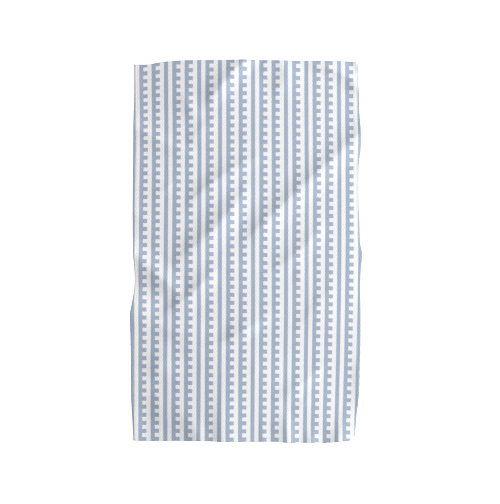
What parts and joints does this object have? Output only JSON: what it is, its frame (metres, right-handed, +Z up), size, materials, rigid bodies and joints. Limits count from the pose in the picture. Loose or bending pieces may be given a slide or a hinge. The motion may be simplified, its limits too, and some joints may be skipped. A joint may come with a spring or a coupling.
{
  "type": "tea towel",
  "caption": "Rectangular tea towel with narrow turned hems, laid out face up with soft folds and slightly wandering edges, printed with plain and toothed blue stripes.",
  "frame": {"origin": "on the surface that the towel lies on, under the middle of its outline", "axes": "+Y along the towel's length to its upper edge in the picture, +X to its right edge, +Z up out of its printed face"},
  "size_m": [0.4646, 0.7662, 0.0175],
  "materials": {
    "printed_cloth": "matt woven cloth, off-white with printed pale blue stripes"
  },
  "bodies": {
    "root": {"towel_cloth": "printed_cloth"}
  },
  "joints": []
}
